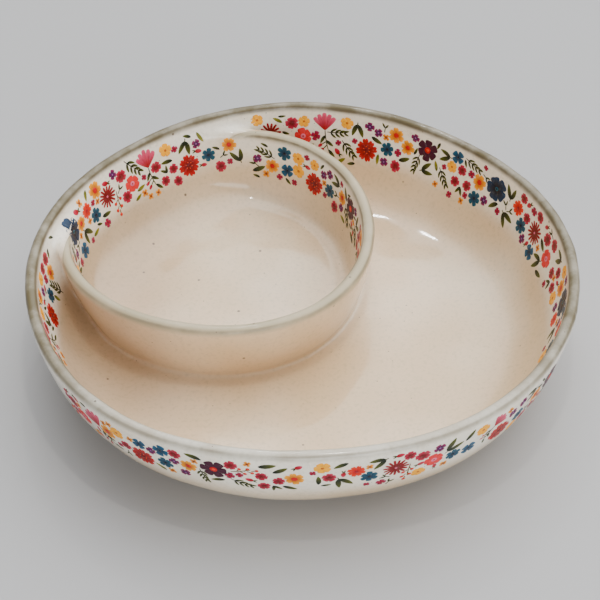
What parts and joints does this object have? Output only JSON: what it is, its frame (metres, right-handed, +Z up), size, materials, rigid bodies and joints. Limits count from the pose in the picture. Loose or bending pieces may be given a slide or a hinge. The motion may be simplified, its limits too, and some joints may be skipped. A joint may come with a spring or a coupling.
{
  "type": "chip and dip server",
  "caption": "Low round stoneware platter bowl with a dip well raised inside its wall, and floral decal bands inside and outside.",
  "frame": {"origin": "under the middle of the server's bounding box, on the surface that it stands on", "axes": "+Z up out of the bowl; -Y towards the open front of the chip well; the dip well lies towards -X and +Y"},
  "size_m": [0.329, 0.322, 0.067],
  "materials": {
    "glazed_stoneware": "gloss",
    "bare_stoneware": "matte",
    "decal_enamel": "gloss"
  },
  "bodies": {
    "root": {"base_slab": "glazed_stoneware", "foot_ring": "bare_stoneware", "platter_flare": "glazed_stoneware", "platter_wall": "glazed_stoneware", "dip_well_wall": "glazed_stoneware", "dip_well_back_decal": "decal_enamel", "dip_well_front_decal": "decal_enamel", "chip_well_decal_1": "decal_enamel", "chip_well_decal_2": "decal_enamel", "chip_well_decal_3": "decal_enamel", "outer_decal_1": "decal_enamel", "outer_decal_2": "decal_enamel", "outer_decal_3": "decal_enamel"}
  },
  "joints": []
}
